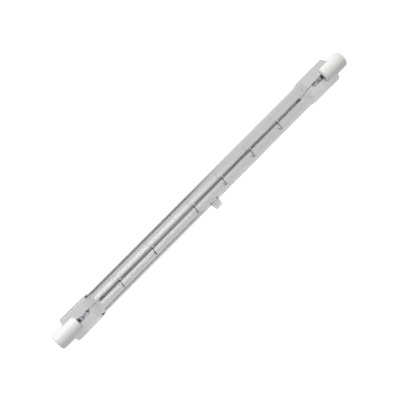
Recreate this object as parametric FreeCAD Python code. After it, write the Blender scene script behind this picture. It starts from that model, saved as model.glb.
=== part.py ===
import FreeCAD, Part
import math
import os

# A double-ended linear halogen lamp. A quartz tube, pinched flat at both ends, holds a coiled
# filament along its axis. Each pinch seals a lead, a foil and an outer lead, and carries a slotted
# ceramic cap with a contact sunk into its end.
# Sizes are millimetres. X runs along the lamp, with the origin on its axis at mid-length. The lamp
# lies as it rests on a table: on the lowest line of its tube, rolled until its exhaust tip touches.

# Whole lamp, whose length is set by the spacing of the contacts in its ends
contact_spacing = 185.7

# How finely it is drawn: chords round each rounded outer edge, and where two points count as one
edge_chords = 2
same_place = 1e-6

# Quartz envelope
tube_diameter = 11.5
tube_wall = 1.25
shoulder_length = 3.6
shoulder_stages = 3
pinch_width = 12.9
pinch_thickness = 2.8
pinch_length = 16.3
pinch_corner_radius = 1.6
pinch_corner_runout = 0.1
bore_end_width = 8.2
bore_end_height = 0.9
bore_end_wall = 0.3

# Exhaust tip, drawn off and melted shut on the side of the tube
tip_station = 1.5
tip_reach = 3.15
tip_root_diameter = 4.7
tip_end_diameter = 4.0
tip_rim_radius = 0.7
tip_root_fillet = 0.7
tip_duct_diameter = 1.0
tip_duct_wall = 1.4

# Filament, with each turn drawn in flat wire for about eight turns of the real, finer winding
filament_diameter = 1.5
filament_end_setback = 0.2
filament_turns = 64
filament_wire_width = 1.3
filament_wire_depth = 0.22
filament_chords = 8

# Filament supports, one bent wire each: a clamp round the filament, a spoke and a ring
support_shares = (-0.832, -0.521, -0.115, 0.163, 0.445, 0.723)
support_wire = 0.35
support_wire_sides = 5
clamp_turns = 2
clamp_chords = 6
clamp_pitch = 0.45
clamp_clearance = 0.03
clamp_offset = 0.55
ring_clearance = 0.42
ring_start_angle = 139.0
ring_sweep = 272.0
ring_chords = 12

# Leads and sealing foils in the pinches
lead_diameter = 0.7
inner_lead_diameter = 0.5
lead_in_coil = 2.8
lead_crank = 0.7
lead_crank_margin = 0.4
inner_lead_on_foil = 2.0
outer_lead_on_foil = 3.4
weld_flat = 0.07
foil_thickness = 0.05
foil_width = 2.4
foil_length = 9.2
foil_point_length = 1.3
foil_point_width = 0.9
foil_edge = 0.5
foil_outer_cover = 4.0

# Ceramic caps
cap_diameter = 8.6
cap_body_length = 6.95
cap_edge_radius = 0.65
prong_length = 6.3
prong_width = 7.2
prong_corner_radius = 1.9
recess_diameter = 4.6
recess_depth = 1.7
recess_mouth_chamfer = 0.2
lead_hole_clearance = 0.15

# Cement between each pinch and the slot of its cap
cement_thickness = 0.2
cement_setback = 0.35

# Contacts
contact_diameter = 3.9
contact_thickness = 1.2
contact_edge = 0.35
contact_clearance = 0.05

# Places worked out from those sizes, as distances from mid-length
contact_face = contact_spacing / 2
half_length = contact_face + recess_depth
contact_back = contact_face - contact_thickness
slot_bottom = half_length - cap_body_length
prong_end = slot_bottom - prong_length
pinch_end = slot_bottom - cement_thickness
pinch_start = pinch_end - pinch_length
shoulder_start = pinch_start - shoulder_length
bore_end = pinch_start - bore_end_wall
bore_shoulder_start = bore_end - shoulder_length
filament_half_length = bore_shoulder_start - filament_end_setback
foil_end = pinch_end - foil_outer_cover
foil_start = foil_end - foil_length

# Radii and levels worked out from them
tube_radius = tube_diameter / 2
bore_radius = tube_radius - tube_wall
filament_radius = filament_diameter / 2
lead_radius = lead_diameter / 2
foil_top = weld_flat - lead_radius
inner_lead_radius = inner_lead_diameter / 2
inner_lead_level = foil_top - weld_flat + inner_lead_radius
slot_half_height = pinch_thickness / 2 + cement_thickness
clamp_flat_radius = filament_radius + clamp_clearance + support_wire / 2
clamp_radius = clamp_flat_radius / math.cos(math.pi / clamp_chords)
ring_radius = bore_radius - ring_clearance - support_wire / 2

AXIS = FreeCAD.Vector(1, 0, 0)
TIP_WAY = FreeCAD.Vector(0, -1, 0)
UP = FreeCAD.Vector(0, 0, 1)
ORIGIN = FreeCAD.Vector(0, 0, 0)
MITRED = 1


# Shared forms


def rod(diameter, start, end):
    """A round rod on the lamp's axis between two stations."""
    return Part.makeCylinder(diameter / 2, end - start, FreeCAD.Vector(start, 0, 0), AXIS)


def block(x_range, width, z_range):
    """A box between two stations and two levels, centred across the lamp."""
    corner = FreeCAD.Vector(x_range[0], -width / 2, z_range[0])
    return Part.makeBox(x_range[1] - x_range[0], width, z_range[1] - z_range[0], corner)


def round_ended(x_range, width, z_range, radius, end):
    """A box whose two upright corners at one station are rounded in plan."""
    plate = block(x_range, width, z_range)
    corners = [
        edge
        for edge in plate.Edges
        if abs(edge.CenterOfMass.x - end) < same_place and edge.BoundBox.YLength < same_place
    ]
    return plate.makeFillet(radius, corners)


def flat_face(corners):
    """A flat face from its corners, where neighbours that coincide count as one."""
    before = [corners[-1], *corners]
    distinct = [b for a, b in zip(before, corners) if not a.isEqual(b, same_place)]
    return Part.Face(Part.makePolygon([*distinct, distinct[0]]))


def turned(profile):
    """A solid turned about the lamp's axis from a closed outline of (station, radius) points."""
    outline = flat_face([FreeCAD.Vector(station, radius, 0) for station, radius in profile])
    return outline.revolve(ORIGIN, AXIS, 360)


def rounded_edge(centre, radius):
    """Chords round the outer edge of a turned piece, from its side to its end face."""
    points = []
    for step in range(edge_chords + 1):
        angle = math.pi / 2 * (1 - step / edge_chords)
        points.append((centre[0] + radius * math.cos(angle), centre[1] + radius * math.sin(angle)))
    return points


def mirrored(shape):
    """The same piece at the other end of the lamp."""
    return shape.mirror(ORIGIN, AXIS)


def closed_solid(faces):
    """One solid from the faces of its skin, turned right side out."""
    shell = Part.makeShell(faces)
    shell.sewShape()
    solid = Part.makeSolid(shell)
    return solid if solid.Volume > 0 else solid.reversed()


# Quartz envelope


def between(first, last, share):
    return first + (last - first) * share


def slab_section(x, width, height):
    """Edges across the lamp of a flattened tube with full round sides: a right and a left half
    circle, and the straight top and bottom between them, which a plain circle doesn't have."""
    radius = height / 2
    reach = max(width / 2 - radius, 0)
    top, bottom = radius, -radius
    right = Part.Arc(
        FreeCAD.Vector(x, reach, bottom),
        FreeCAD.Vector(x, reach + radius, 0),
        FreeCAD.Vector(x, reach, top),
    )
    left = Part.Arc(
        FreeCAD.Vector(x, -reach, top),
        FreeCAD.Vector(x, -reach - radius, 0),
        FreeCAD.Vector(x, -reach, bottom),
    )
    flats = [
        (FreeCAD.Vector(x, reach, level), FreeCAD.Vector(x, -reach, level))
        for level in (top, bottom)
    ]
    return right.toShape(), left.toShape(), flats


def section_face(x, width, height):
    right, left, flats = slab_section(x, width, height)
    straight = [
        Part.LineSegment(*flat).toShape() for flat in flats if not flat[0].isEqual(flat[1], same_place)
    ]
    return Part.Face(Part.Wire(Part.sortEdges([right, left, *straight])[0]))


def shoulder_faces(start, diameter, width, height):
    """The skin over which a round tube is pressed flat, easing in and out of the slope in short
    straight stages. Each is two bent half cones and two flats."""
    faces = []
    before = slab_section(start, diameter, diameter)
    for stage in range(1, shoulder_stages + 1):
        share = stage / shoulder_stages
        eased = share * share * (3 - 2 * share)
        after = slab_section(
            start + shoulder_length * share,
            between(diameter, width, eased),
            between(diameter, height, eased),
        )
        faces.append(Part.makeRuledSurface(before[0], after[0]))
        faces.append(Part.makeRuledSurface(before[1], after[1]))
        for flat_before, flat_after in zip(before[2], after[2]):
            faces.append(flat_face([*flat_before, flat_after[1], flat_after[0]]))
        before = after
    return faces


def pinch():
    """The flat press seal, with the corners of its outer end rounded in plan."""
    slab = section_face(pinch_start, pinch_width, pinch_thickness).extrude(AXIS * pinch_length)
    levels = (-pinch_thickness, pinch_thickness)
    width = pinch_width + pinch_corner_runout
    plan = round_ended((bore_end, pinch_end), width, levels, pinch_corner_radius, pinch_end)
    return slab.common(plan)


def exhaust_tip():
    """The melted-off stub of the exhaust tube: a cone with a rounded rim, rooted in the wall."""
    root = bore_radius + tube_wall / 2
    end = tube_radius + tip_reach
    rim_centre = (end - tip_rim_radius, tip_end_diameter / 2 - tip_rim_radius)
    rim = rounded_edge(rim_centre, tip_rim_radius)
    stub = turned([(root, 0), (root, tip_root_diameter / 2), *rim, (end, 0)])
    return stub.rotated(ORIGIN, UP, -90).translated(AXIS * tip_station)


def exhaust_duct():
    """What is left open of the duct through which the tube was pumped and filled."""
    root = bore_radius - tube_wall / 2
    end = tube_radius + tip_reach - tip_duct_wall
    place = TIP_WAY * root + AXIS * tip_station
    return Part.makeCylinder(tip_duct_diameter / 2, end - root, place, TIP_WAY)


def straight_tube(diameter, half_length):
    return section_face(-half_length, diameter, diameter).extrude(AXIS * (2 * half_length))


def tube_with_tip():
    """The straight tube, with the exhaust tip flowing into it."""
    glass = straight_tube(tube_diameter, shoulder_start).fuse(exhaust_tip())
    root_edges = [
        edge
        for edge in glass.Edges
        if edge.BoundBox.YMax < 0
        and edge.BoundBox.YMin > -tube_radius - tip_rim_radius
        and tip_end_diameter < edge.BoundBox.ZLength < tube_diameter / 2
    ]
    return glass.makeFillet(tip_root_fillet, root_edges)


def faces_but_at(shape, stations):
    """A shape's faces, without those that close it across the lamp at the given stations."""
    return [
        face
        for face in shape.Faces
        if face.BoundBox.XLength > same_place
        or all(abs(face.CenterOfMass.x - station) > same_place for station in stations)
    ]


def sewn(middle_faces, end_faces):
    """One closed solid from the skin of its middle and the skin of its end, used at both ends."""
    return closed_solid(middle_faces + end_faces + [mirrored(face) for face in end_faces])


def quartz_envelope(sealed_pieces):
    """Tube, shoulders, pinches and exhaust tip as one piece of glass, pressed round what it seals."""
    outer = sewn(
        faces_but_at(tube_with_tip(), (-shoulder_start, shoulder_start)),
        shoulder_faces(shoulder_start, tube_diameter, pinch_width, pinch_thickness)
        + faces_but_at(pinch(), (pinch_start,)),
    )
    bore_middle = straight_tube(2 * bore_radius, bore_shoulder_start).fuse(exhaust_duct())
    bore = sewn(
        faces_but_at(bore_middle, (-bore_shoulder_start, bore_shoulder_start)),
        shoulder_faces(bore_shoulder_start, 2 * bore_radius, bore_end_width, bore_end_height)
        + [section_face(bore_end, bore_end_width, bore_end_height)],
    )
    return outer.cut(bore).cut(sealed_pieces)


# Wires


def bent_wire(points, diameter, sides):
    """A wire of many-sided section through points, in straight runs that are mitred where they meet."""
    ways = [(after - before).normalize() for before, after in zip(points, points[1:])]
    side_way = ways[0].cross(AXIS).normalize() * (diameter / 2)
    up_way = ways[0].cross(side_way)
    ring = []
    for side in range(sides):
        angle = 2 * math.pi * side / sides
        ring.append(points[0] + side_way * math.cos(angle) + up_way * math.sin(angle))
    faces = [flat_face(ring)]
    for way, next_way, point in zip(ways, [*ways[1:], ways[-1]], points[1:]):
        mitre = way + next_way
        next_ring = [
            corner + way * ((point - corner).dot(mitre) / way.dot(mitre)) for corner in ring
        ]
        for side in range(sides):
            faces.append(
                flat_face([ring[side - 1], ring[side], next_ring[side], next_ring[side - 1]])
            )
        ring = next_ring
    faces.append(flat_face(ring))
    return closed_solid(faces)


# Filament and its supports


def filament():
    """The wound coil, in straight chords of flat wire, one turn after another along the axis."""
    steps = filament_turns * filament_chords
    run = 2 * filament_half_length - filament_wire_width
    outer = filament_radius
    inner = filament_radius - filament_wire_depth
    sections = []
    for step in range(steps + 1):
        angle = 2 * math.pi * step / filament_chords
        x = run * (step / steps - 0.5)
        outward = FreeCAD.Vector(0, math.cos(angle), math.sin(angle))
        half = AXIS * (filament_wire_width / 2)
        base = AXIS * x
        corners = [
            base + outward * outer - half,
            base + outward * outer + half,
            base + outward * inner + half,
            base + outward * inner - half,
        ]
        sections.append(Part.makePolygon([*corners, corners[0]]))
    return Part.makeLoft(sections, True, True)


def support():
    """One support: turns clamped on the filament, a spoke, and an open ring that steadies it in the
    bore. The spoke leaves the clamp along its tangent to the ring's first corner."""
    ring_start = math.radians(ring_start_angle)
    clamp_end = ring_start - math.acos(clamp_radius / ring_radius)
    points = []
    steps = clamp_turns * clamp_chords
    for step in range(steps, -1, -1):
        angle = clamp_end - 2 * math.pi * step / clamp_chords
        x = clamp_offset + clamp_turns * clamp_pitch * step / steps
        points.append(
            FreeCAD.Vector(x, clamp_radius * math.cos(angle), clamp_radius * math.sin(angle))
        )
    for step in range(ring_chords + 1):
        angle = ring_start + math.radians(ring_sweep) * step / ring_chords
        y = ring_radius * math.cos(angle)
        points.append(FreeCAD.Vector(0, y, ring_radius * math.sin(angle)))
    return bent_wire(points, support_wire, support_wire_sides)


# Leads and foils


def inner_lead():
    """A thin rod from inside the filament's last turns, cranked sideways and down to its weld on the
    foil."""
    start = FreeCAD.Vector(filament_half_length - lead_in_coil, 0, 0)
    stops = [
        start,
        FreeCAD.Vector(filament_half_length + lead_crank_margin, 0, 0),
        FreeCAD.Vector(bore_end - lead_crank_margin, lead_crank, inner_lead_level),
        FreeCAD.Vector(foil_start + inner_lead_on_foil, lead_crank, inner_lead_level),
    ]
    section = Part.Wire(Part.makeCircle(inner_lead_radius, start, AXIS))
    lead = Part.makePolygon(stops).makePipeShell([section], True, False, MITRED)
    return lead.cut(below_the_welds())


def below_the_welds():
    """The space under the flats that the welds press on the leads, over the foil's length."""
    return block((foil_start, foil_end), pinch_width, (-lead_diameter, foil_top))


def outer_lead():
    """A rod from its weld on the foil, out of the pinch and through the cap to the contact."""
    lead = rod(lead_diameter, foil_end - outer_lead_on_foil, contact_back)
    return lead.cut(below_the_welds())


def foil():
    """The sealing foil: a thin strip with feathered long edges and a tapered inner end."""
    half = foil_width / 2
    bottom = foil_top - foil_thickness
    middle = foil_top - foil_thickness / 2
    section = [
        FreeCAD.Vector(foil_start, -half, middle),
        FreeCAD.Vector(foil_start, -half + foil_edge, foil_top),
        FreeCAD.Vector(foil_start, half - foil_edge, foil_top),
        FreeCAD.Vector(foil_start, half, middle),
        FreeCAD.Vector(foil_start, half - foil_edge, bottom),
        FreeCAD.Vector(foil_start, -half + foil_edge, bottom),
    ]
    strip = flat_face(section).extrude(AXIS * foil_length)
    near = foil_point_width / 2
    far = near + (half - near) * foil_length / foil_point_length
    level = -foil_width
    plan = [
        FreeCAD.Vector(foil_start, -near, level),
        FreeCAD.Vector(foil_end, -far, level),
        FreeCAD.Vector(foil_end, far, level),
        FreeCAD.Vector(foil_start, near, level),
    ]
    return strip.common(flat_face(plan).extrude(UP * (2 * foil_width)))


# Caps, cement and contacts


def ceramic_cap():
    """The slotted cap: a round body, two prongs over the pinch's faces and a recess in its end."""
    radius = cap_diameter / 2
    edge_centre = (half_length - cap_edge_radius, radius - cap_edge_radius)
    edge = rounded_edge(edge_centre, cap_edge_radius)
    cap = turned([(prong_end, 0), (prong_end, radius), *edge, (half_length, 0)])
    levels = (-cap_diameter, cap_diameter)
    whole_cap = (prong_end, half_length)
    prongs = round_ended(whole_cap, prong_width, levels, prong_corner_radius, prong_end)
    body = block((slot_bottom, half_length + cap_edge_radius), 2 * cap_diameter, levels)
    cap = cap.common(prongs.fuse(body))
    slot_levels = (-slot_half_height, slot_half_height)
    slot = block((prong_end, slot_bottom), 2 * cap_diameter, slot_levels)
    mouth = half_length - recess_mouth_chamfer
    recess_radius = recess_diameter / 2
    seat_radius = contact_diameter / 2 + contact_clearance
    hole_radius = lead_radius + lead_hole_clearance
    recess = turned(
        [
            (slot_bottom - cement_thickness, 0),
            (slot_bottom - cement_thickness, hole_radius),
            (contact_back, hole_radius),
            (contact_back, seat_radius),
            (contact_face, seat_radius),
            (contact_face, recess_radius),
            (mouth, recess_radius),
            (half_length, recess_radius + recess_mouth_chamfer),
            (half_length, 0),
        ]
    )
    return cap.cut([slot, recess])


def cement(glass_end, lead):
    """What fills the cap's slot: a thin layer on each face of the pinch and behind its end."""
    fill = block(
        (prong_end + cement_setback, slot_bottom),
        prong_width - 2 * cement_setback,
        (-slot_half_height, slot_half_height),
    )
    return fill.cut([glass_end, lead])


def contact():
    """The contact button, seated on the cap's floor, with its outer edge chamfered."""
    radius = contact_diameter / 2
    return turned(
        [
            (contact_back, 0),
            (contact_back, radius),
            (contact_face - contact_edge, radius),
            (contact_face, radius - contact_edge),
            (contact_face, 0),
        ]
    )


# The lamp laid down: the angle at which the rim of its exhaust tip reaches the table


def resting_roll():
    rim_centre_out = tube_radius + tip_reach - tip_rim_radius
    rim_centre_side = tip_end_diameter / 2 - tip_rim_radius
    rim_distance = math.hypot(rim_centre_out, rim_centre_side)
    lift = math.asin((tube_radius - tip_rim_radius) / rim_distance)
    return math.degrees(lift - math.atan2(rim_centre_side, rim_centre_out))


def all_pieces():
    """Every piece by name, in the lamp's own upright frame."""
    seals = {"inner_lead": inner_lead(), "foil": foil(), "outer_lead": outer_lead()}
    both_ends = [piece for seal in seals.values() for piece in (seal, mirrored(seal))]
    pieces = {"quartz_envelope": quartz_envelope(both_ends), "filament": filament()}
    bent_support = support()
    for number, share in enumerate(support_shares, 1):
        place = AXIS * (share * filament_half_length)
        pieces[f"filament_support_{number}"] = bent_support.translated(place)
    end_pieces = {
        **seals,
        "cement": cement(pinch(), seals["outer_lead"]),
        "ceramic_cap": ceramic_cap(),
        "contact": contact(),
    }
    for name, piece in end_pieces.items():
        pieces[f"{name}_left"] = mirrored(piece)
        pieces[f"{name}_right"] = piece
    return pieces


os.makedirs("parts", exist_ok=True)
roll = resting_roll()
for name, piece in all_pieces().items():
    laid = piece.rotated(ORIGIN, AXIS, roll)
    laid.exportStep(f"parts/{name}.step")
    print(name, laid.isValid(), len(laid.Solids), round(laid.Volume, 3))
print("roll", round(roll, 2))
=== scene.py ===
# %% [markdown]
# # A linear halogen lamp, lying on a white table
# The lamp is a quartz tube with a coiled filament stretched along its axis. Both ends of the tube are
# pinched flat round their leads, and each pinch sits in a slotted ceramic cap. The construction comes
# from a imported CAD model, which this lesson loads as a fixed frame. Blender adds what the eye judges:
# glass that flows from tube to pinch, a filament wound as finely as the real one, wires that are truly
# round, and a finish for every piece.

# %% Load the frame
import math
import bmesh
import bpy
import numpy as np
from mathutils import Matrix, Vector


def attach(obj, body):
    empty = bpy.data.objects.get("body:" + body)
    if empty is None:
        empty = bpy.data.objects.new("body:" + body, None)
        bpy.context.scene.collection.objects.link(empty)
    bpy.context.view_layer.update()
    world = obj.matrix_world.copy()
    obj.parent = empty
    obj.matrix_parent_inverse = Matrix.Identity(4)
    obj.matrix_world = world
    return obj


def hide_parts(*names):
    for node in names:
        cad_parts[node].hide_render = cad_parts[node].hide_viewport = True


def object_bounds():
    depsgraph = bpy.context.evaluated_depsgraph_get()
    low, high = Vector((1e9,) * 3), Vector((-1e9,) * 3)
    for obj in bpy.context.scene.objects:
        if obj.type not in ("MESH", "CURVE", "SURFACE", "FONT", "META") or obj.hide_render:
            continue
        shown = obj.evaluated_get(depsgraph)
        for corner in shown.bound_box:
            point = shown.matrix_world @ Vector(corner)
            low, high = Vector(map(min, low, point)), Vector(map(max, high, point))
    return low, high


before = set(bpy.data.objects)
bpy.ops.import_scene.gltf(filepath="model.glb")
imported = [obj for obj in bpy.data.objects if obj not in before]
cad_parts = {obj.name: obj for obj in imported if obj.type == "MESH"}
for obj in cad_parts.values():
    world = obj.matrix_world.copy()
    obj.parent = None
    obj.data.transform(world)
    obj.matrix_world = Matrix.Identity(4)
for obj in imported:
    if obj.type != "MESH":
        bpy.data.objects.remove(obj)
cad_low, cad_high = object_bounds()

MM = 0.001
print("CAD box in mm:", [round(v / MM, 2) for v in (*cad_low, *cad_high)])

# %% [markdown]
# ## The lamp's own frame
# On the table the lamp has rolled until its exhaust tip touches. Its parts are easier to describe before
# that roll, with X along the lamp, the tip towards -Y and the pinches flat in XY. The tip's corners are
# the only ones of the glass that lie far from the axis, so their mean direction gives the roll.

# %% Find the roll, and measure CAD nodes without it
def cad_corners(node):
    """A CAD node's corners in millimetres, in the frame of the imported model."""
    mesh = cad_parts[node].data
    flat = np.empty(3 * len(mesh.vertices), np.float32)
    mesh.vertices.foreach_get("co", flat)
    return flat.reshape(-1, 3) / MM


glass_corners = cad_corners("quartz_envelope")
off_axis = np.hypot(glass_corners[:, 1], glass_corners[:, 2])
tip_corners = glass_corners[off_axis > 0.9 * off_axis.max()]
tip_way = tip_corners.mean(axis=0)
roll = math.atan2(-tip_way[2], -tip_way[1])
laid_down = Matrix.Rotation(roll, 4, "X")
upright = np.array(laid_down.to_3x3())


def lamp_corners(node):
    """A CAD node's corners in millimetres, in the lamp's own frame."""
    return cad_corners(node) @ upright


def lamp_box(node):
    corners = lamp_corners(node)
    return corners.min(axis=0), corners.max(axis=0)


print("roll in degrees:", round(math.degrees(roll), 2))

# %% [markdown]
# ## Helpers
# Every mesh is written in millimetres in the lamp's own frame. One helper turns such a mesh into an
# object, laid down and scaled to metres, so that the object itself stays at the origin. Colours are
# written as sRGB hex, because that is how they are read off a picture, and one function turns them into
# the linear numbers that shaders use. One more adds a node with its settings and links.

# %% Helpers
def empty_piece(name):
    """A piece whose mesh is still empty."""
    piece = bpy.data.objects.new(name, bpy.data.meshes.new(name))
    bpy.context.scene.collection.objects.link(piece)
    return piece


def piece_from(builder, name):
    """A piece from a bmesh in millimetres in the lamp's frame."""
    bmesh.ops.transform(builder, matrix=Matrix.Scale(MM, 4) @ laid_down, verts=builder.verts)
    piece = empty_piece(name)
    builder.to_mesh(piece.data)
    builder.free()
    return piece


def plain_mesh(piece):
    """Turns what a piece's modifiers make into its own mesh, and takes the modifiers off."""
    graph = bpy.context.evaluated_depsgraph_get()
    made = bpy.data.meshes.new_from_object(piece.evaluated_get(graph), depsgraph=graph)
    piece.modifiers.clear()
    piece.data = made
    made.name = piece.name
    return piece


def smooth(piece, sharp_above):
    """Smooth shading, but for edges that turn by more than an angle in degrees."""
    piece.data.shade_smooth()
    piece.data.set_sharp_from_angle(angle=math.radians(sharp_above))


def finish_piece(piece, slot, *nodes):
    """Rides on the lamp's one body and stands for its CAD nodes. The slot, a material slot of the record, is
    not used.
    """
    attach(piece, "root")
    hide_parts(*nodes)
    print(piece.name, "has", sum(len(face.vertices) - 2 for face in piece.data.polygons), "triangles")


def linear(hex_colour):
    """An sRGB hex colour as linear red, green, blue and alpha."""
    shares = [int(hex_colour[i : i + 2], 16) / 255 for i in (0, 2, 4)]
    return (*[s / 12.92 if s <= 0.04045 else ((s + 0.055) / 1.055) ** 2.4 for s in shares], 1.0)


def add(tree, kind, inputs=None, **settings):
    """Adds one node: its settings, and its inputs as links or values."""
    node = tree.nodes.new(kind)
    for name, value in settings.items():
        setattr(node, name, value)
    for name, value in (inputs or {}).items():
        if isinstance(value, bpy.types.NodeSocket):
            tree.links.new(value, node.inputs[name])
        else:
            node.inputs[name].default_value = value
    return node


def new_material(name):
    material = bpy.data.materials.new(name)
    material.use_nodes = True
    material.node_tree.nodes.clear()
    return material, material.node_tree


# %% [markdown]
# ## Fused silica
# The envelope is clear fused silica, drawn as tube and then fire-polished. It has no colour and a low
# index of 1.458. Drawing leaves faint lines along the tube, and pressing leaves the pinches slightly
# rippled, so both are bump here: real, but far too shallow to be geometry. The bump is stronger in the
# pinches, which the shader knows by how far along X a point lies. Lamps shine through the glass by its
# transparent answer to shadow rays, because light bent by glass would otherwise take far too long to
# find the wires inside.

# %% Glass
foil_start, foil_end = (corner[0] for corner in lamp_box("foil_right"))
draw_line_width, draw_line_depth, draw_line_stretch = 1.43, 0.002, 100
ripple_width, ripple_depth, ripple_fade = 2.0, 0.12, 5.0


def noise_scale(width):
    """The scale of a noise whose grains are about this wide, in millimetres."""
    return 1 / (width * MM)


def station_along(tree, place):
    """How far along X a point lies, in metres."""
    return add(tree, "ShaderNodeSeparateXYZ", {"Vector": place}).outputs["X"]


def distance_along(tree, place):
    """How far a point lies from the middle of the lamp, along it."""
    station = station_along(tree, place)
    return add(tree, "ShaderNodeMath", {0: station}, operation="ABSOLUTE").outputs[0]


def fused_silica():
    material, tree = new_material("fused_silica")
    place = add(tree, "ShaderNodeTexCoord").outputs["Object"]
    along = add(tree, "ShaderNodeMapping", {"Vector": place, "Scale": (1 / draw_line_stretch, 1.0, 1.0)})
    lines = add(
        tree, "ShaderNodeTexNoise",
        {"Vector": along.outputs[0], "Scale": noise_scale(draw_line_width), "Detail": 2.0},
    )
    ripple = add(
        tree, "ShaderNodeTexNoise", {"Vector": place, "Scale": noise_scale(ripple_width), "Detail": 1.0}
    )
    pressed = add(
        tree, "ShaderNodeMapRange",
        {"Value": distance_along(tree, place), "From Min": (foil_start - ripple_fade) * MM,
         "From Max": foil_start * MM},
    ).outputs[0]
    height = add(
        tree, "ShaderNodeMix",
        {"Factor": pressed, "A": lines.outputs[0], "B": ripple.outputs[0]}, data_type="FLOAT",
    ).outputs[0]
    depth = add(
        tree, "ShaderNodeMapRange",
        {"Value": pressed, "To Min": draw_line_depth * MM, "To Max": ripple_depth * MM},
    ).outputs[0]
    bump = add(tree, "ShaderNodeBump", {"Height": height, "Distance": depth, "Strength": 1.0})
    glass = add(
        tree, "ShaderNodeBsdfPrincipled",
        {"Base Color": linear("F7F7F7"), "Roughness": 0.01, "IOR": 1.458, "Transmission Weight": 1.0,
         "Normal": bump.outputs[0]},
    )
    clear = add(tree, "ShaderNodeBsdfTransparent", {"Color": linear("F2F2F2")})
    rays = add(tree, "ShaderNodeLightPath")
    either = add(
        tree, "ShaderNodeMixShader",
        {0: rays.outputs["Is Shadow Ray"], 1: glass.outputs[0], 2: clear.outputs[0]},
    )
    add(tree, "ShaderNodeOutputMaterial", {"Surface": either.outputs[0]})
    return material


silica = fused_silica()
print("pinches are rippled beyond", round(foil_start, 1), "mm from the middle")

# %% [markdown]
# ## The envelope's skins
# The envelope is one piece of glass with an outer and an inner skin. Both are rings of corners strung
# along X: circles on the tube, flat slabs with round sides on the pinch, and eased mixtures of the two
# on the shoulder. That is also how the press shapes the real one, so the shoulder looks blown and not
# cut. The bore ends in a flat nose inside the pinch. The outer sizes come from the CAD mesh. Wall,
# shoulder, pinch and nose are written here again, and so is a small flaw of the press: in the picture
# both shoulders lie about a millimetre nearer the left cap.

# %% Sizes of the envelope, in millimetres
RING = 96
tube_wall = 1.25
shoulder_length = 3.6
pinch_thickness = 2.8
upright_glass = lamp_corners("quartz_envelope")
distance_out = np.abs(upright_glass[:, 0])
tube_radius = upright_glass[:, 2].max()
bore_radius = tube_radius - tube_wall
on_tube_top = upright_glass[:, 2] > tube_radius - 0.01
shoulder_start = distance_out[on_tube_top].max()
pinch_start = shoulder_start + shoulder_length
pinch_end = distance_out.max()
pinch_half_width = np.abs(upright_glass[distance_out > shoulder_start, 1]).max()
pinch_half_height = pinch_thickness / 2
pinch_corner, pinch_edge = 1.6, 0.9
bore_shift = 0.3
bore_end_half_width, bore_end_half_height = 5.0, 0.45
nose_length, nose_half_width, nose_half_height = 2.2, 0.6, 0.06
shoulders_left = 1.1
print("tube radius", round(tube_radius, 2), "shoulder", round(shoulder_start, 2),
      "pinch end", round(pinch_end, 2), "pinch half width", round(pinch_half_width, 2))


# %% Rings of corners
def round_ring(x, radius):
    angles = np.arange(RING) * 2 * math.pi / RING
    return np.column_stack([np.full(RING, x), radius * np.cos(angles), radius * np.sin(angles)])


def slab_ring(x, half_width, half_height):
    """A flat section with round sides. Its corners are shared out by octants: two of the eight for
    each round side and two for each flat."""
    octant = np.arange(RING) * 8 / RING
    turns = [0, 1, 3, 5, 7, 8]
    reach = half_width - half_height
    middle = np.interp(octant, turns, [reach, reach, -reach, -reach, reach, reach])
    angle = np.radians(np.interp(octant, turns, [0, 90, 90, 270, 270, 360]))
    return np.column_stack(
        [np.full(RING, x), middle + half_height * np.cos(angle), half_height * np.sin(angle)]
    )


def eased(share):
    """Eases a share from 0 to 1, level at both ends."""
    return share * share * (3 - 2 * share)


def shoulder(start, radius, half_width, half_height, steps=28):
    """Rings that turn from a circle into a slab."""
    rings = []
    for share in np.linspace(0, 1, steps + 1):
        x = start + shoulder_length * share
        turn = eased(share)
        rings.append((1 - turn) * round_ring(x, radius) + turn * slab_ring(x, half_width, half_height))
    return rings


def pinch_rings():
    """The rest of the pinch, with its outer corners rounded in plan and its end's edge melted."""
    straight_end = pinch_end - pinch_corner
    straight = np.linspace(pinch_start, straight_end, 6)[1:]
    rings = [slab_ring(x, pinch_half_width, pinch_half_height) for x in straight]
    for angle in np.radians(np.linspace(0, 90, 17)[1:]):
        x = pinch_end - pinch_corner * (1 - math.sin(angle))
        half_width = pinch_half_width - pinch_corner * (1 - math.cos(angle))
        into_edge = max(0.0, x - (pinch_end - pinch_edge))
        half_height = pinch_half_height - pinch_edge + math.sqrt(max(0.0, pinch_edge**2 - into_edge**2))
        rings.append(slab_ring(x, half_width, half_height))
    return rings


def nose_rings():
    """The flat end of the bore, which thins out on an elliptic curve."""
    rings = []
    for angle in np.radians(np.linspace(0, 90, 13)[1:]):
        x = pinch_start - bore_shift + nose_length * math.sin(angle)
        half_width = nose_half_width + (bore_end_half_width - nose_half_width) * math.cos(angle)
        half_height = nose_half_height + (bore_end_half_height - nose_half_height) * (1 - math.sin(angle))
        rings.append(slab_ring(x, half_width, half_height))
    return rings


outer_end = shoulder(shoulder_start, tube_radius, pinch_half_width, pinch_half_height) + pinch_rings()
inner_end = shoulder(shoulder_start - bore_shift, bore_radius, bore_end_half_width, bore_end_half_height)
inner_end += nose_rings()
print(len(outer_end), "outer and", len(inner_end), "inner rings at each end")

# %% [markdown]
# ## The exhaust tip
# The tube was pumped and filled through a thin pipe on its side, which was then melted off. What is left
# is a stub that flows into the wall, with a narrow blind duct in it. A boolean would leave a hard seam
# there. So a window is left open in the grid of rings, and a patch fills it: its corners start on the
# window's edge, draw together into a circle on the tube, turn up through a fillet and close over the top.

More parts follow.
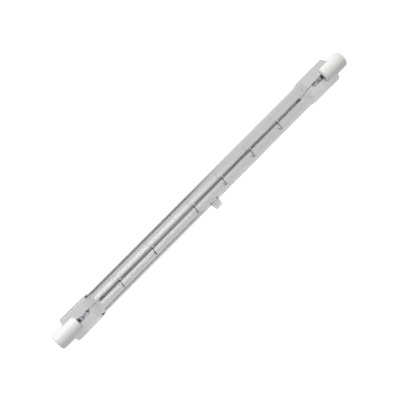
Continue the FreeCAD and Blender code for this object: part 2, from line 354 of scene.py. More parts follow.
# %% The patch that fills a window of the tube
tip_station = 0.5 * (tip_corners[:, 0].min() + tip_corners[:, 0].max())
tip_short_of_cad, tip_top_wall = 0.03, 1.4
tip_height = -lamp_box("quartz_envelope")[0][1] - tip_short_of_cad
tip_root_radius, tip_end_radius, tip_rim, tip_fillet = 2.35, 2.0, 0.7, 0.2
duct_height = tip_height - tip_top_wall
duct_radius, duct_end_radius, duct_rim, duct_fillet = 1.1, 0.6, 0.4, 0.5


def bend(start, corner, end, t):
    """A point some share of the way along a smooth bend, which leaves and ends towards its corner."""
    return start * (1 - t) ** 2 + corner * 2 * t * (1 - t) + end * t**2


def branch(window, radius, root, end, rim, fillet, height):
    """Rings of a stub that grows out of a round tube towards -Y, from the window's corners inwards.
    A window corner is its (x, arc) place on the unrolled tube, counted from the stub's middle."""
    way = np.arctan2(window[:, 1], window[:, 0])
    side, front = np.sin(way), np.cos(way)

    def on_tube(x, arc):
        angle = arc / radius
        return np.column_stack([tip_station + x, -radius * np.cos(angle), radius * np.sin(angle)])

    def free(reach, level):
        return np.column_stack([tip_station + reach * front, -level + 0 * front, reach * side])

    foot = root + fillet
    foot_x, foot_arc = foot * front, radius * np.arcsin(foot * side / radius)
    rings = [
        on_tube(window[:, 0] * (1 - t) + foot_x * t, window[:, 1] * (1 - t) + foot_arc * t)
        for t in np.linspace(0, 1, 7)[1:]
    ]
    low = np.sqrt(radius**2 - (foot * side) ** 2)
    corner = np.sqrt(radius**2 - (root * side) ** 2)
    for t in np.linspace(0, 1, 9)[1:]:
        rings.append(free(bend(foot, root, root, t), bend(low, corner, corner + fillet, t)))
    for t in np.linspace(0, 1, 7)[1:]:
        rings.append(free(root + (end - root) * t, (corner + fillet) * (1 - t) + (height - rim) * t))
    for angle in np.radians(np.linspace(0, 90, 9)[1:]):
        rings.append(free(end - rim + rim * math.cos(angle), height - rim + rim * math.sin(angle)))
    rings += [free((end - rim) * t, height) for t in (0.6, 0.3)]
    return rings


print("tip", round(tip_station, 2), "mm right of the middle, and", round(tip_height, 2), "from the axis")


# %% A closed skin from its rings
def shifted_left(points):
    """Moves both shoulders to the left. The shift fades out along the pinch, whose corners stay."""
    distance = np.abs(points[:, 0])
    fading = np.interp(distance, [pinch_start + nose_length, pinch_end - pinch_corner], [1, 0])
    points[:, 0] -= shoulders_left * fading * (distance > shoulder_start - 2 * bore_shift)
    return points


def skin(end_rings, radius, window_reach, window_steps, window_sides, stub, inward):
    """One closed skin of the glass. The window spans a length along the tube and some of the ring's
    corners each way round from -Y, which is the corner half way round."""
    stations = tip_station + np.linspace(-window_reach, window_reach, window_steps + 1)
    mirror = np.array([-1.0, 1.0, 1.0])
    rings = [ring * mirror for ring in reversed(end_rings)]
    first = len(rings)
    rings += [round_ring(x, radius) for x in stations] + list(end_rings)
    last = first + window_steps
    low, high = RING // 2 - window_sides, RING // 2 + window_sides
    points = list(shifted_left(np.vstack(rings)))
    faces = []
    for i in range(len(rings) - 1):
        for k in range(RING):
            if not (first <= i < last and low <= k < high):
                j = (k + 1) % RING
                faces.append((i * RING + k, i * RING + j, (i + 1) * RING + j, (i + 1) * RING + k))
    edge = [(i, low) for i in range(first, last)] + [(last, k) for k in range(low, high)]
    edge += [(i, high) for i in range(last, first, -1)] + [(first, k) for k in range(high, low, -1)]
    arc_step = 2 * math.pi * radius / RING
    window = np.array([(rings[i][0][0] - tip_station, -(k - RING // 2) * arc_step) for i, k in edge])
    loop = [i * RING + k for i, k in edge]
    for ring in branch(window, radius, *stub):
        base = len(points)
        points += list(ring)
        following = [base + m for m in range(len(edge))]
        for m in range(len(edge)):
            n = (m + 1) % len(edge)
            faces.append((loop[m], loop[n], following[n], following[m]))
        loop = following
    closings = [loop, list(range(RING)), [(len(rings) - 1) * RING + k for k in range(RING)]]
    for closing in closings:
        points.append(np.mean([points[i] for i in closing], axis=0))
        centre = len(points) - 1
        faces += [(a, b, centre) for a, b in zip(closing, [*closing[1:], closing[0]])]
    builder = bmesh.new()
    corners = [builder.verts.new(point) for point in points]
    for face in faces:
        builder.faces.new([corners[i] for i in face])
    bmesh.ops.recalc_face_normals(builder, faces=builder.faces)
    if (builder.calc_volume(signed=True) < 0) != inward:
        bmesh.ops.reverse_faces(builder, faces=builder.faces)
    return builder


# %% The envelope
tip_stub = (tip_root_radius, tip_end_radius, tip_rim, tip_fillet, tip_height)
duct_stub = (duct_radius, duct_end_radius, duct_rim, duct_fillet, duct_height)
outer = skin(
    outer_end, tube_radius, window_reach=4.2, window_steps=24, window_sides=11, stub=tip_stub, inward=False
)
inner = skin(
    inner_end, bore_radius, window_reach=2.0, window_steps=14, window_sides=8, stub=duct_stub, inward=True
)
glass_volume = outer.calc_volume(signed=True) + inner.calc_volume(signed=True)
inner_mesh = bpy.data.meshes.new("inner_skin")
inner.to_mesh(inner_mesh)
inner.free()
outer.from_mesh(inner_mesh)
bpy.data.meshes.remove(inner_mesh)
envelope = piece_from(outer, "quartz_glass")
smooth(envelope, 40)
envelope.data.materials.append(silica)
finish_piece(envelope, "fused_silica", "quartz_envelope")
print("glass volume in mm3:", round(glass_volume))

# %% [markdown]
# ## Metals
# Filament and supports are drawn tungsten wire: dull grey, darker than steel. The leads are molybdenum
# rod and the seals molybdenum foil, which is bright inside the glass. The foil's outer end and the outer
# leads, which run into the caps' slots, are painted dark as shade. The contacts are nickel-plated. All are
# metals, so their colour tints what they reflect, and drawing marks break the reflection up. Real marks
# are a few thousandths of a millimetre wide. They are drawn about a hundred times wider here, because
# finer ones would never show. Where a wire's tone changes along its way, the material is given what to
# measure and where the change comes in. On the support wire that change is painted highlight and shade.

# %% Metal materials
WIRE_SHARE = "share_of_wire"
filament_low, filament_high = lamp_box("filament")
filament_length = float(filament_high[0] - filament_low[0])
gloss_spread = 0.06
mark_depth = 0.01


def share_of_wire(tree, place):
    """How far along its own wire a point lies, from 0 to 1, which Geometry Nodes store below."""
    return add(tree, "ShaderNodeAttribute", attribute_name=WIRE_SHARE).outputs["Fac"]


def share_from_middle(tree, place):
    """How far along its own wire a point lies from the wire's middle, from 0 to 0.5."""
    share = share_of_wire(tree, place)
    past = add(tree, "ShaderNodeMath", {0: share, 1: 0.5}, operation="SUBTRACT").outputs[0]
    return add(tree, "ShaderNodeMath", {0: past}, operation="ABSOLUTE").outputs[0]


def changed(tree, colour, other, measure, start, end):
    """A colour that gives way to another one as a measure goes from one number to another."""
    share = add(tree, "ShaderNodeMapRange", {"Value": measure, "From Min": start, "From Max": end})
    mixed = add(
        tree, "ShaderNodeMix", {"Factor": share.outputs[0], "A": colour, "B": linear(other)}, data_type="RGBA"
    )
    return mixed.outputs["Result"]


def drawn_metal(name, light, dark, roughness, mark_width, *changes):
    """A metal whose tone and gloss vary between two shades in fine marks. Each change is the function
    that measures it, the colour it leads to and the two measures between which it comes in."""
    material, tree = new_material(name)
    place = add(tree, "ShaderNodeTexCoord").outputs["Object"]
    marks = add(
        tree, "ShaderNodeTexNoise", {"Vector": place, "Scale": noise_scale(mark_width), "Detail": 4.0}
    )
    shades = add(
        tree, "ShaderNodeMix",
        {"Factor": marks.outputs[0], "A": linear(dark), "B": linear(light)}, data_type="RGBA",
    )
    colour = shades.outputs["Result"]
    for measure, other, start, end in changes:
        colour = changed(tree, colour, other, measure(tree, place), start, end)
    gloss = add(
        tree, "ShaderNodeMapRange",
        {"Value": marks.outputs[0], "To Min": roughness - gloss_spread, "To Max": roughness + gloss_spread},
    )
    bump = add(
        tree, "ShaderNodeBump", {"Height": marks.outputs[0], "Distance": mark_depth * MM, "Strength": 0.5}
    )
    metal = add(
        tree, "ShaderNodeBsdfPrincipled",
        {"Base Color": colour, "Metallic": 1.0, "Roughness": gloss.outputs[0], "Normal": bump.outputs[0]},
    )
    add(tree, "ShaderNodeOutputMaterial", {"Surface": metal.outputs[0]})
    return material


# %% The five metals
coil_end_dark_from, coil_end_dark_to = 3.2, 2.4
lead_darkens_within = 0.6
tungsten = drawn_metal(
    "drawn_tungsten", "BABABC", "8E8E90", 0.4, 0.25,
    (share_from_middle, "6A6A6C", 0.5 - coil_end_dark_from / filament_length,
     0.5 - coil_end_dark_to / filament_length),
)
# Painted light: the support wire is painted bright as a highlight on its clamp, nearly black as shade on its
# spoke and the ring's near end, and bright again as a highlight on the ring's free end.
support_wire_painted_light = drawn_metal(
    "tungsten_support_wire", "F4F4F6", "E0E0E2", 0.36, 0.25,
    (share_of_wire, "1A1A1B", 0.33, 0.37), (share_of_wire, "F4F4F6", 0.60, 0.69),
)
molybdenum = drawn_metal(
    "molybdenum_rod", "D0D0D4", "B0B0B4", 0.34, 0.333,
    (distance_along, "5A5A5E", foil_start * MM, (foil_start + lead_darkens_within) * MM),
)
# Painted shade: the outer leads, which run into the caps' slots, are painted dark.
oxidised_molybdenum = drawn_metal("oxidised_molybdenum", "66666A", "46464A", 0.45, 0.333)
nickel = drawn_metal("nickel_plate", "C9C6C0", "A9A6A0", 0.28, 0.4)
metals = (tungsten, support_wire_painted_light, molybdenum, oxidised_molybdenum, nickel)
print("metals:", *(metal.name for metal in metals))

# %% [markdown]
# ## The filament
# The real coil has about 525 turns of 0.19 mm wire, wound 1.5 mm across, and the CAD model holds it in 64
# coarse turns. A Screw modifier could wind the fine one. Geometry Nodes were chosen, a spiral curve with
# a round profile swept along it, because their named inputs make a stouter or longer coil one number
# away: in the picture its ends lie a little further left than in the CAD model. Each point of the wire
# also stores its share of the way, by which the metal is darker at the ends, where the leads fill it.

# %% Geometry Nodes: helpers for trees
def tree_with_inputs(name, inputs):
    """An empty tree of Geometry Nodes with named inputs, and their identifiers."""
    tree = bpy.data.node_groups.new(name, "GeometryNodeTree")
    tree.interface.new_socket("Geometry", in_out="INPUT", socket_type="NodeSocketGeometry")
    tree.interface.new_socket("Geometry", in_out="OUTPUT", socket_type="NodeSocketGeometry")
    keys = {}
    for label, kind in inputs.items():
        socket = tree.interface.new_socket(label, in_out="INPUT", socket_type="NodeSocket" + kind)
        keys[label] = socket.identifier
    return tree, keys


def half_of(tree, size):
    return add(tree, "ShaderNodeMath", {0: size, 1: 0.5}, operation="MULTIPLY").outputs[0]


def swept_wire(tree, curve, thickness, sides):
    """A round wire along a curve, on which each point stores its share of the way."""
    share = add(tree, "GeometryNodeSplineParameter").outputs["Factor"]
    marked = add(
        tree, "GeometryNodeStoreNamedAttribute",
        {"Geometry": curve, "Name": WIRE_SHARE, "Value": share}, data_type="FLOAT",
    )
    section = add(
        tree, "GeometryNodeCurvePrimitiveCircle", {"Resolution": sides, "Radius": half_of(tree, thickness)}
    )
    wire = add(
        tree, "GeometryNodeCurveToMesh",
        {"Curve": marked.outputs[0], "Profile Curve": section.outputs[0], "Fill Caps": True},
    )
    return wire.outputs[0]


def end_tree(tree, geometry, material):
    """Ends a tree as the export needs it: with real geometry that has its material."""
    real = add(tree, "GeometryNodeRealizeInstances", {0: geometry})
    coated = add(tree, "GeometryNodeSetMaterial", {"Geometry": real.outputs[0], "Material": material})
    add(tree, "NodeGroupOutput", {0: coated.outputs[0]})


def run_tree(piece, tree, keys, values):
    """Runs a tree on a piece and keeps what it makes as the piece's own mesh."""
    modifier = piece.modifiers.new(tree.name, "NODES")
    modifier.node_group = tree
    for label, value in values.items():
        modifier[keys[label]] = value
    return plain_mesh(piece)


# %% Geometry Nodes: a wound coil
points_per_turn, coil_wire_sides = 12, 6


def coil_tree():
    sizes = {"Length": "Float", "Middle": "Float", "Radius": "Float", "Wire": "Float", "Turns": "Float"}
    tree, keys = tree_with_inputs("wound_coil", {**sizes, "Material": "Material"})
    given = add(tree, "NodeGroupInput").outputs
    helix = add(
        tree, "GeometryNodeCurveSpiral",
        {"Resolution": points_per_turn, "Rotations": given["Turns"], "Start Radius": given["Radius"],
         "End Radius": given["Radius"], "Height": given["Length"]},
    )
    left_end = add(
        tree, "ShaderNodeMath", {0: given["Middle"], 1: half_of(tree, given["Length"])}, operation="SUBTRACT"
    )
    start = add(tree, "ShaderNodeCombineXYZ", {"X": left_end.outputs[0]}).outputs[0]
    laid = add(
        tree, "GeometryNodeTransform",
        {"Geometry": helix.outputs[0], "Translation": start, "Rotation": (0.0, math.pi / 2, 0.0)},
    )
    end_tree(tree, swept_wire(tree, laid.outputs[0], given["Wire"], coil_wire_sides), given["Material"])
    return tree, keys


# %% The filament
filament_wire = 0.19
filament_turns = 525.0
filament_radius = float(filament_high[1]) - filament_wire / 2
filament_past_left, filament_short_of_right = 1.0, 1.6
filament_left = float(filament_low[0]) - filament_past_left + filament_wire / 2
filament_right = float(filament_high[0]) - filament_short_of_right - filament_wire / 2
winding, winding_keys = coil_tree()
filament = run_tree(
    empty_piece("coiled_filament"), winding, winding_keys,
    {"Length": (filament_right - filament_left) * MM, "Middle": (filament_right + filament_left) / 2 * MM,
     "Radius": filament_radius * MM, "Wire": filament_wire * MM, "Turns": filament_turns,
     "Material": tungsten},
)
filament.data.shade_smooth()
finish_piece(filament, "tungsten", "filament")

# %% [markdown]
# ## The filament's supports
# Each support is one bent tungsten wire: two turns clamped on the filament, a spoke along their
# tangent, and an open ring that keeps the coil in the middle of the bore. Its centre line is worked out
# once. Geometry Nodes sweep it, set a copy at each of the six stations, which are read off the CAD
# nodes, and realise them as one mesh. Light and shade are painted along the wire: painted highlights on
# the clamps, painted shade on the spokes and the near ends of the rings, and painted highlights again on
# the rings' free ends.

# %% The centre line of one support
support_nodes = [f"filament_support_{number}" for number in range(1, 7)]
support_wire, support_sides = 0.35, 10
stations = [float(lamp_box(node)[0][0]) + support_wire / 2 for node in support_nodes]
ring_radius = float(lamp_box(support_nodes[0])[1][1]) - support_wire / 2
ring_start, ring_sweep = math.radians(139.0), math.radians(272.0)
clamp_clearance = 0.03
clamp_radius = float(filament_high[1]) + clamp_clearance + support_wire / 2
clamp_start, clamp_pitch, clamp_turns = 0.55, 0.45, 2
bend_radius = 0.3


def support_line():
    """Points of the wire from the clamp's far end to the ring's free end, in the lamp's frame."""
    leave = ring_start - math.acos(clamp_radius / ring_radius)
    points = []
    for turn in np.linspace(clamp_turns, 0, 24 * clamp_turns + 1):
        angle = leave - 2 * math.pi * turn
        x = clamp_start + clamp_pitch * turn
        points.append((x, clamp_radius * math.cos(angle), clamp_radius * math.sin(angle)))
    clamp_end = Vector(points[-1])
    elbow = Vector((0.0, ring_radius * math.cos(ring_start), ring_radius * math.sin(ring_start)))
    onward = Vector((0.0, -math.sin(ring_start), math.cos(ring_start)))
    before = elbow + (clamp_end - elbow).normalized() * bend_radius
    after = elbow + onward * bend_radius
    for t in np.linspace(0, 1, 7):
        points.append(tuple(bend(before, elbow, after, t)))
    first = math.atan2(points[-1][2], points[-1][1]) % (2 * math.pi)
    for angle in np.linspace(first, ring_start + ring_sweep, 61)[1:]:
        points.append((0.0, ring_radius * math.cos(angle), ring_radius * math.sin(angle)))
    return points


line = bpy.data.curves.new("support_line", "CURVE")
line.dimensions = "3D"
spline = line.splines.new("POLY")
support_points = support_line()
spline.points.add(len(support_points) - 1)
for knot, point in zip(spline.points, support_points):
    knot.co = (*(laid_down @ Vector(point) * MM), 1.0)
support_path = bpy.data.objects.new("support_line", line)
bpy.context.scene.collection.objects.link(support_path)
print("one support's wire is", len(support_points), "points long")


# %% Geometry Nodes: a wire set at each station
def support_tree():
    sizes = {"Path": "Object", "Wire": "Float", "Sides": "Int", "Material": "Material"}
    tree, keys = tree_with_inputs("set_wires", sizes)
    given = add(tree, "NodeGroupInput").outputs
    path = add(tree, "GeometryNodeObjectInfo", {"Object": given["Path"]})
    wire = swept_wire(tree, path.outputs["Geometry"], given["Wire"], given["Sides"])
    copies = add(tree, "GeometryNodeInstanceOnPoints", {"Points": given["Geometry"], "Instance": wire})
    end_tree(tree, copies.outputs[0], given["Material"])
    return tree, keys


places = bmesh.new()
for station in stations:
    places.verts.new((station, 0.0, 0.0))
supports = piece_from(places, "filament_supports")
set_wires, set_wires_keys = support_tree()
run_tree(
    supports, set_wires, set_wires_keys,
    {"Path": support_path, "Wire": support_wire * MM, "Sides": support_sides, "Material": support_wire_painted_light},
)
bpy.data.objects.remove(support_path)
smooth(supports, 60)
finish_piece(supports, "tungsten", *support_nodes)

# %% [markdown]
# ## Leads and foils
# The leads and foils keep their CAD meshes, because they are plain rods and strips sealed in the glass.
# The foil is mottled by small blisters between it and the glass, and its outer end, towards the cap, is
# painted dark as shade. So its material reads a coarse noise, and the distance from the lamp's middle.

# %% The foil's material
painted_shade_length, painted_shade_blur = 3.4, 0.3
blister_width, blister_depth = 0.769, 0.02
dark_from = foil_end - painted_shade_length


def sealing_foil():
    material, tree = new_material("molybdenum_foil")
    place = add(tree, "ShaderNodeTexCoord").outputs["Object"]
    blisters = add(
        tree, "ShaderNodeTexNoise", {"Vector": place, "Scale": noise_scale(blister_width), "Detail": 1.0}
    ).outputs[0]
    bright = changed(tree, linear("88888C"), "ECECF0", blisters, 0.35, 0.65)
    # Painted shade: the foil turns darker towards its outer end, by the cap.
    colour = changed(
        tree, bright, "7A7A80", distance_along(tree, place),
        (dark_from - painted_shade_blur) * MM, (dark_from + painted_shade_blur) * MM,
    )
    bump = add(
        tree, "ShaderNodeBump", {"Height": blisters, "Distance": blister_depth * MM, "Strength": 0.6}
    )
    metal = add(
        tree, "ShaderNodeBsdfPrincipled",
        {"Base Color": colour, "Metallic": 1.0, "Roughness": 0.4, "Normal": bump.outputs[0]},
    )
    add(tree, "ShaderNodeOutputMaterial", {"Surface": metal.outputs[0]})
    return material


foil_metal = sealing_foil()


def coat(node, material):
    """Gives a CAD node one material."""
    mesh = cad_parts[node].data
    mesh.materials.clear()
    mesh.materials.append(material)


SIDES = ("left", "right")
for side in SIDES:
    coat(f"foil_{side}", foil_metal)
    coat(f"inner_lead_{side}", molybdenum)
    coat(f"outer_lead_{side}", oxidised_molybdenum)
print("foils darken beyond", round(dark_from, 1), "mm from the middle")

# %% [markdown]
# ## Ceramic caps
# The caps are steatite, pressed dry and fired: white, with a smooth, slightly waxy surface, faint pores
# and edges that the press left rounded. Each is turned in one outline, then cut like the real tool does
# it: everything beyond the prongs' outline goes, then the slot, then the recess. A narrow bevel melts the
# new edges. Real grain and grit are finer than is drawn here, and would not show at all.

# %% Steatite and cement
cloud_width, grain_width, grain_depth = 2.86, 0.222, 0.02
grit_width, grit_depth = 0.333, 0.05


def steatite():
    material, tree = new_material("fired_steatite")
    place = add(tree, "ShaderNodeTexCoord").outputs["Object"]
    clouds = add(
        tree, "ShaderNodeTexNoise", {"Vector": place, "Scale": noise_scale(cloud_width), "Detail": 3.0}
    )
    grain = add(
        tree, "ShaderNodeTexNoise", {"Vector": place, "Scale": noise_scale(grain_width), "Detail": 2.0}
    )
    colour = add(
        tree, "ShaderNodeMix",
        {"Factor": clouds.outputs[0], "A": linear("F0F0EF"), "B": linear("EAEAE9")}, data_type="RGBA",
    )
    bump = add(
        tree, "ShaderNodeBump", {"Height": grain.outputs[0], "Distance": grain_depth * MM, "Strength": 0.4}
    )
    body = add(
        tree, "ShaderNodeBsdfPrincipled",
        {"Base Color": colour.outputs["Result"], "Roughness": 0.5, "IOR": 1.55, "Normal": bump.outputs[0]},
    )
    add(tree, "ShaderNodeOutputMaterial", {"Surface": body.outputs[0]})
    return material


def cap_cement():
    material, tree = new_material("cap_cement")
    place = add(tree, "ShaderNodeTexCoord").outputs["Object"]
    grit = add(
        tree, "ShaderNodeTexNoise", {"Vector": place, "Scale": noise_scale(grit_width), "Detail": 5.0}
    )
    colour = add(
        tree, "ShaderNodeMix",
        {"Factor": grit.outputs[0], "A": linear("C4C4C2"), "B": linear("E2E2E0")}, data_type="RGBA",
    )
    bump = add(
        tree, "ShaderNodeBump", {"Height": grit.outputs[0], "Distance": grit_depth * MM, "Strength": 0.8}
    )
    body = add(
        tree, "ShaderNodeBsdfPrincipled",
        {"Base Color": colour.outputs["Result"], "Roughness": 0.85, "Normal": bump.outputs[0]},
    )
    add(tree, "ShaderNodeOutputMaterial", {"Surface": body.outputs[0]})
    return material


ceramic = steatite()
cement = cap_cement()
for side in SIDES:
    coat(f"cement_{side}", cement)
print("ceramics:", ceramic.name, cement.name)

# %% Sizes of a cap, in millimetres
cap_low, cap_high = lamp_box("ceramic_cap_right")
prong_end, cap_end = float(cap_low[0]), float(cap_high[0])
cap_radius = float(cap_high[1])
slot_bottom, slot_half_height = (float(lamp_box("cement_right")[1][axis]) for axis in (0, 2))
contact_low, contact_high = lamp_box("contact_right")
contact_back, contact_face = float(contact_low[0]), float(contact_high[0])
contact_radius = float(contact_high[1])
prong_half_width, prong_corner = 3.6, 1.9
cap_edge, new_edge = 1.15, 0.14
recess_radius, recess_chamfer = 2.3, 0.2
lead_hole_radius, contact_clearance = 0.5, 0.05
print("cap from", round(prong_end, 2), "to", round(cap_end, 2), "slot bottom", round(slot_bottom, 2))


# %% Turned and upright forms
def arc(centre, radius, start, end, steps=8):
    """Points round an arc in the plane of a profile, between two angles in degrees."""
    angles = np.radians(np.linspace(start, end, steps + 1))
    return [(centre[0] + radius * math.cos(a), centre[1] + radius * math.sin(a)) for a in angles]


def turned(profile, sides=96):
    """A closed form turned about X from (station, radius) points, which start and end on the axis."""
    builder = bmesh.new()
    rings = []
    for x, radius in profile[1:-1]:
        rings.append([
            builder.verts.new((x, radius * math.cos(a), radius * math.sin(a)))
            for a in np.arange(sides) * 2 * math.pi / sides
        ])
    for ring, following in zip(rings, rings[1:]):
        for k in range(sides):
            builder.faces.new((ring[k - 1], ring[k], following[k], following[k - 1]))
    builder.faces.new(rings[0])
    builder.faces.new(rings[-1])
    bmesh.ops.recalc_face_normals(builder, faces=builder.faces)
    return builder


def raised(outline, low, high):
    """A closed upright form from its outline in the XY plane, between two levels."""
    builder = bmesh.new()
    bottom = [builder.verts.new((x, y, low)) for x, y in outline]
    top = [builder.verts.new((x, y, high)) for x, y in outline]
    for k in range(len(outline)):
        builder.faces.new((bottom[k - 1], bottom[k], top[k], top[k - 1]))
    builder.faces.new(bottom)
    builder.faces.new(top)
    bmesh.ops.recalc_face_normals(builder, faces=builder.faces)
    return builder


# %% One cap at the +X end
def cut(piece, builder, operation):
    """Cuts a piece with a form, or keeps what they share."""
    tool = piece_from(builder, "tool")
    modifier = piece.modifiers.new("cut", "BOOLEAN")
    modifier.operation = operation
    modifier.solver = "EXACT"
    modifier.object = tool
    plain_mesh(piece)
    bpy.data.objects.remove(tool)


def prongs_outline(outside, beyond):
    """The cap as seen along the pinch's thickness: narrow prongs with round corners, and all of the rest."""
    corner = arc((prong_end + prong_corner, prong_half_width - prong_corner), prong_corner, 180, 90)
    half = [*corner, (slot_bottom, prong_half_width), (slot_bottom, outside), (beyond, outside)]
    return half + [(x, -y) for x, y in reversed(half)]


def recess_profile(beyond):
    """The way in for the lead, the contact's seat, the recess and its chamfered mouth."""
    before, seat_radius, mouth = slot_bottom - 1, contact_radius + contact_clearance, cap_end - recess_chamfer
    return [
        (before, 0), (before, lead_hole_radius), (contact_back, lead_hole_radius),
        (contact_back, seat_radius), (contact_face, seat_radius), (contact_face, recess_radius),
        (mouth, recess_radius), (beyond, recess_radius + recess_chamfer + 1), (beyond, 0),
    ]


def ceramic_cap():
    before, beyond, outside = prong_end - 1, cap_end + 1, 2 * cap_radius
    edge = arc((cap_end - cap_edge, cap_radius - cap_edge), cap_edge, 90, 0)
    cap = piece_from(turned([(prong_end, 0), (prong_end, cap_radius), *edge, (cap_end, 0)]), "cap")
    cut(cap, raised(prongs_outline(outside, beyond), -outside, outside), "INTERSECT")
    side = cap_radius + 1
    slot = [(before, -side), (slot_bottom, -side), (slot_bottom, side), (before, side)]
    cut(cap, raised(slot, -slot_half_height, slot_half_height), "DIFFERENCE")
    cut(cap, turned(recess_profile(beyond)), "DIFFERENCE")
    bevel = cap.modifiers.new("melted_edges", "BEVEL")
    bevel.width = new_edge * MM
    bevel.segments = 3
    bevel.limit_method = "ANGLE"
    bevel.angle_limit = math.radians(30)
    plain_mesh(cap)
    return cap


# %% A cap at each end
def at_end(piece, side, name):
    """A piece made at the +X end, kept there or mirrored to the other end."""
    builder = bmesh.new()
    builder.from_mesh(piece.data)
    if side == "left":
        bmesh.ops.transform(builder, matrix=Matrix.Scale(-1, 4, (1, 0, 0)), verts=builder.verts)
        bmesh.ops.reverse_faces(builder, faces=builder.faces)
    placed = empty_piece(name)
    builder.to_mesh(placed.data)
    builder.free()
    return placed


first_cap = ceramic_cap()
for side in SIDES:
    cap = at_end(first_cap, side, f"steatite_cap_{side}")
    smooth(cap, 30)
    cap.data.materials.append(ceramic)
    finish_piece(cap, "steatite", f"ceramic_cap_{side}")
bpy.data.objects.remove(first_cap)

# %% [markdown]
# ## Contacts
# The contact is a small button of plated metal at the bottom of the recess, where the lampholder's pin
# meets it. It is round, so a turned profile with a rounded edge is all it needs.

# %% Contacts
contact_edge = 0.35
rim = arc((contact_face - contact_edge, contact_radius - contact_edge), contact_edge, 90, 0, 6)
button_profile = [(contact_back, 0), (contact_back, contact_radius), *rim, (contact_face, 0)]
button = piece_from(turned(button_profile, 64), "button")
for side in SIDES:
    contact = at_end(button, side, f"contact_button_{side}")
    smooth(contact, 40)
    contact.data.materials.append(nickel)
    finish_piece(contact, "nickel", f"contact_{side}")
bpy.data.objects.remove(button)

# %% [markdown]
# ## The camera
# The picture was taken from above the lamp's left part and turned towards its middle, so that the right
# end looks slightly further away. The lamp runs from the lower left to the upper right of the frame, and
# the camera looks straight at the flat side of its pinches.

# %% Camera
camera_station = -57.75
camera_across = -0.2
camera_distance = 378.2
camera_turn = math.radians(8.25)
focal_pixels = 822.0
picture_width = 400
slant = math.radians(45.13)

pinch_way = laid_down @ Vector((0.0, 0.0, 1.0))
across_way = laid_down @ Vector((0.0, 1.0, 0.0))
along_way = Vector((1.0, 0.0, 0.0))
back_way = pinch_way * math.cos(camera_turn) - along_way * math.sin(camera_turn)
image_along = along_way * math.cos(camera_turn) + pinch_way * math.sin(camera_turn)
right_way = image_along * math.cos(slant) - across_way * math.sin(slant)
up_way = image_along * math.sin(slant) + across_way * math.cos(slant)
camera_data = bpy.data.cameras.new("camera")
camera_data.sensor_width = 36.0
camera_data.lens = camera_data.sensor_width * focal_pixels / picture_width
camera_data.clip_start, camera_data.clip_end = 0.01, 20.0
camera = bpy.data.objects.new("camera", camera_data)
camera.matrix_world = Matrix.Translation(
    (along_way * camera_station + across_way * camera_across + pinch_way * camera_distance) * MM
) @ Matrix((right_way, up_way, back_way)).transposed().to_4x4()
bpy.context.scene.collection.objects.link(camera)
bpy.context.scene.camera = camera
print("camera looks down by", round(math.degrees(math.asin(back_way.z)), 1), "degrees")

# %% [markdown]
# ## Table, light and cards
# The table is pale grey, and the camera alone sees it as white, with the lamp's soft shadow on it. Glass
# shows what lies behind it, so through the glass the table keeps its own grey, as in the photo, where
# the lamp reads a light grey on white. A long soft panel hangs over the left part. It gives the two
# bright lines along the glass there, and fades out to the right, as they do. Dark cards on the table,
# which only reflected and bent rays see, draw the dark lines along the glass, a common trick for clear
# glass: a wide one behind the left part, a narrow one in front of it, and a small one under the left
# pinch.

# %% Stage
table_level = float(cad_low.z) / MM
table_half = 3000


def stage_plane(name, centre, half_x, half_y, material):
    """A level rectangle of the studio, in millimetres."""
    mesh = bpy.data.meshes.new(name)
    corners = [(-half_x, -half_y, 0), (half_x, -half_y, 0), (half_x, half_y, 0), (-half_x, half_y, 0)]
    mesh.from_pydata([Vector(corner) * MM for corner in corners], [], [(0, 1, 2, 3)])
    plane = bpy.data.objects.new(name, mesh)
    plane.matrix_world = Matrix.Translation(Vector(centre) * MM)
    bpy.context.scene.collection.objects.link(plane)
    mesh.materials.append(material)
    return plane


def lit_and_glowing(tree, hex_colour, glow_strength):
    """A matt colour that also glows a little, which thins the shadows that fall on it."""
    matt = add(tree, "ShaderNodeBsdfDiffuse", {"Color": linear(hex_colour)})
    glow = add(tree, "ShaderNodeEmission", {"Strength": glow_strength})
    return add(tree, "ShaderNodeAddShader", {0: matt.outputs[0], 1: glow.outputs[0]}).outputs[0]


def table_top():
    material, tree = new_material("table_top")
    lighting = add(tree, "ShaderNodeBsdfDiffuse", {"Color": linear("C8C8C8")}).outputs[0]
    through_glass = lit_and_glowing(tree, "6E6E6E", 0.49)
    white = lit_and_glowing(tree, "8C8C8C", 0.9)
    rays = add(tree, "ShaderNodeLightPath").outputs
    indirect = add(
        tree, "ShaderNodeMixShader", {0: rays["Is Diffuse Ray"], 1: through_glass, 2: lighting}
    ).outputs[0]
    seen = add(tree, "ShaderNodeMixShader", {0: rays["Is Camera Ray"], 1: indirect, 2: white})
    add(tree, "ShaderNodeOutputMaterial", {"Surface": seen.outputs[0]})
    return material


table = stage_plane("table", (0, 0, table_level), table_half, table_half, table_top())
print(table.name, "at", round(table_level, 2), "mm")

# %% Cards
card_lift = 0.05


def fading_level(tree, start, end, at_start, at_end):
    """A number that changes along a stage plane between two stations in millimetres."""
    place = add(tree, "ShaderNodeTexCoord").outputs["Object"]
    return add(
        tree, "ShaderNodeMapRange",
        {"Value": station_along(tree, place), "From Min": start * MM, "From Max": end * MM,
         "To Min": at_start, "To Max": at_end},
    ).outputs[0]


def card_stock(fade_from, fade_to):
    """Black card that fades out along X between two stations in millimetres."""
    material, tree = new_material("black_card")
    black = add(tree, "ShaderNodeBsdfDiffuse", {"Color": linear("1C1C1C")})
    clear = add(tree, "ShaderNodeBsdfTransparent")
    gone = fading_level(tree, fade_from, fade_to, 0.0, 1.0)
    either = add(tree, "ShaderNodeMixShader", {0: gone, 1: black.outputs[0], 2: clear.outputs[0]})
    add(tree, "ShaderNodeOutputMaterial", {"Surface": either.outputs[0]})
    return material


def show_in_glass_only(plane):
    """Leaves a plane to reflected and bent rays alone."""
    plane.visible_camera = False
    plane.visible_diffuse = False
    plane.visible_shadow = False


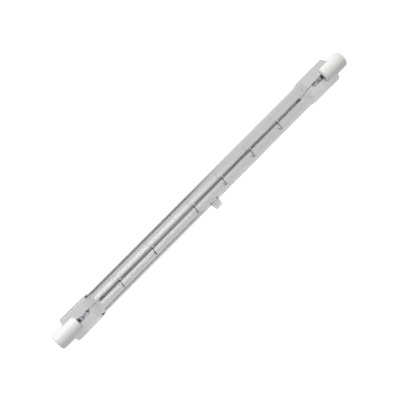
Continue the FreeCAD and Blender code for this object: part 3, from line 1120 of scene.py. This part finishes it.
def card(name, x_range, y_range, fade):
    """A card just above the table, with its ranges and the stations of its fade in millimetres."""
    middle_x, middle_y = sum(x_range) / 2, sum(y_range) / 2
    half_x, half_y = (x_range[1] - x_range[0]) / 2, (y_range[1] - y_range[0]) / 2
    stock = card_stock(fade[0] - middle_x, fade[1] - middle_x)
    plane = stage_plane(name, (middle_x, middle_y, table_level + card_lift), half_x, half_y, stock)
    show_in_glass_only(plane)
    print(name, "covers", x_range, "by", y_range)


card("card_behind", (-72, 40), (16, 48), (-5, 25))
card("card_in_front", (-69, 5), (-8.0, -6.4), (-10, 0))
card("card_under_pinch", (-88, -75.5), (2.8, 4.2), (-76, -75.5))


# %% Lights
def soft_light(name, centre, aim, size_x, size_y, watts):
    """A rectangular soft light, in millimetres, facing a point."""
    data = bpy.data.lights.new(name, "AREA")
    data.shape = "RECTANGLE"
    data.size, data.size_y = size_x * MM, size_y * MM
    data.energy = watts
    light = bpy.data.objects.new(name, data)
    way = Vector(aim) - Vector(centre)
    side = Vector((1.0, 0.0, 0.0))
    side = (side - way * side.dot(way) / way.dot(way)).normalized()
    back = -way.normalized()
    light.matrix_world = Matrix.Translation(Vector(centre) * MM) @ Matrix(
        (side, back.cross(side), back)
    ).transposed().to_4x4()
    bpy.context.scene.collection.objects.link(light)
    return light


def panel_glow(strength, fade_from, fade_to):
    """A glow that dies away along X between two stations in millimetres. It adds to what lies behind, so
    that the panel has no dark end."""
    material, tree = new_material("panel_glow")
    level = fading_level(tree, fade_from, fade_to, strength, 0.0)
    glow = add(tree, "ShaderNodeEmission", {"Strength": level})
    clear = add(tree, "ShaderNodeBsdfTransparent")
    either = add(tree, "ShaderNodeAddShader", {0: glow.outputs[0], 1: clear.outputs[0]})
    add(tree, "ShaderNodeOutputMaterial", {"Surface": either.outputs[0]})
    return material


key_light = soft_light("key_light", (-20, 190, 400), (0, 0, 0), 640, 220, 1.8)
key_light.visible_glossy = False
key_light.visible_transmission = False
panel = stage_plane("long_panel", (-210, 145, 400), 340, 140, panel_glow(3.7, 220, 330))
show_in_glass_only(panel)
print("lights:", key_light.name, "and", panel.name)

# %% World
light_level, mirrored_level, backdrop_level = 0.41, 0.6, 1.0
world = bpy.data.worlds.new("studio")
world.use_nodes = True
sky = world.node_tree
sky.nodes.clear()
fill, room, backdrop = (
    add(sky, "ShaderNodeBackground", {"Color": linear("FFFFFF"), "Strength": level}).outputs[0]
    for level in (light_level, mirrored_level, backdrop_level)
)
sky_rays = add(sky, "ShaderNodeLightPath").outputs
around = add(sky, "ShaderNodeMixShader", {0: sky_rays["Is Diffuse Ray"], 1: room, 2: fill}).outputs[0]
behind = add(sky, "ShaderNodeMixShader", {0: sky_rays["Is Camera Ray"], 1: around, 2: backdrop}).outputs[0]
add(sky, "ShaderNodeOutputWorld", {"Surface": behind})
bpy.context.scene.world = world
bpy.context.scene.view_settings.view_transform = "Standard"
print("the sky lights at", light_level, "and shows at", mirrored_level, "in metal and glass")
